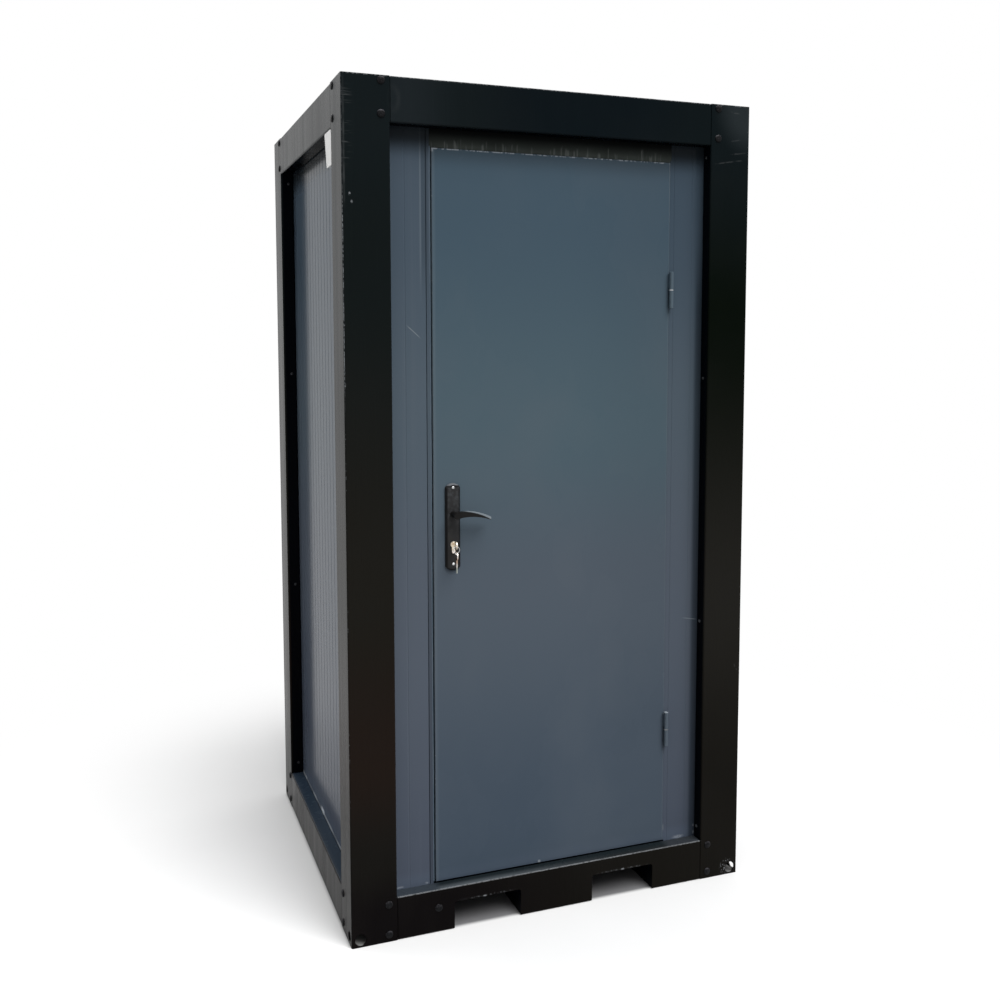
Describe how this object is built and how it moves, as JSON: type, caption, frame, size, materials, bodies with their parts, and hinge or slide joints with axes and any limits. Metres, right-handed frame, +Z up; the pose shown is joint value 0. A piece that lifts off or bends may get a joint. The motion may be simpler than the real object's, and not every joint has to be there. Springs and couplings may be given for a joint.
{
  "type": "portable site cabin",
  "caption": "Small portable site cabin: bolted folded-steel frame with recessed insulated panels, fork pockets under the floor, a hinged steel door with lever handle and lashing holes at the post feet.",
  "frame": {"origin": "on the ground, at the middle of the steel frame's footprint", "axes": "+Z up, the door faces -Y, +X to the right as seen from the door side"},
  "size_m": [1.2, 1.082, 2.3],
  "materials": {
    "frame": "semi-gloss black paint with scratches and chips",
    "panel": "satin blue-grey coated steel skin, white inside",
    "head": "dark scuffed strip over the door",
    "door": "satin blue-grey paint outside, white inside",
    "roof": "light coated steel",
    "lining": "white coated trim",
    "floor": "film-faced plywood",
    "bare_steel": "zinc-plated steel",
    "handle": "satin black handle furniture",
    "brass": "worn brass",
    "white_box": "white moulded plastic"
  },
  "bodies": {
    "cabin": {"post_front_left": "frame", "post_front_right": "frame", "post_rear_left": "frame", "post_rear_right": "frame", "top_rail_front": "frame", "top_rail_rear": "frame", "top_rail_left": "frame", "top_rail_right": "frame", "bottom_rail_front": "frame", "bottom_rail_rear": "frame", "bottom_rail_left": "frame", "bottom_rail_right": "frame", "fork_channel_left": "frame", "fork_channel_right": "frame", "floor_base": "floor", "floor_deck": "floor", "roof_panel": "roof", "left_wall": "panel", "right_wall": "panel", "rear_wall": "panel", "front_panel_left": "panel", "front_panel_right": "panel", "head_panel": "head", "lock_jamb": "panel", "hinge_jamb": "panel", "door_sill": "frame", "corner_trims": "lining", "cable_box": "white_box", "strike_plate": "bare_steel", "hinge_top_frame": "door", "hinge_bottom_frame": "door", "hinge_washers": "bare_steel"},
    "door": {"door_leaf": "door", "hinge_top_leaf": "door", "hinge_bottom_leaf": "door", "lock_faceplate": "bare_steel", "outer_handle_plate": "handle", "inner_handle_plate": "handle", "lock_cylinder": "brass", "key": "brass", "key_ring": "bare_steel", "spare_key": "brass"},
    "lever": {"outer_lever": "handle", "inner_lever": "handle", "spindle": "bare_steel"}
  },
  "joints": [
    {"name": "door_swing", "type": "hinge", "parent": "cabin", "child": "door", "pos_m": [0.36575, -0.505, 0], "axis": [0, 0, 1], "range_deg": [0, 150]},
    {"name": "lever_turn", "type": "hinge", "parent": "door", "child": "lever", "pos_m": [-0.2985, -0.477, 1.158], "axis": [0, 1, 0], "range_deg": [0, 40], "stiffness_Nm_per_rad": 1.2}
  ]
}
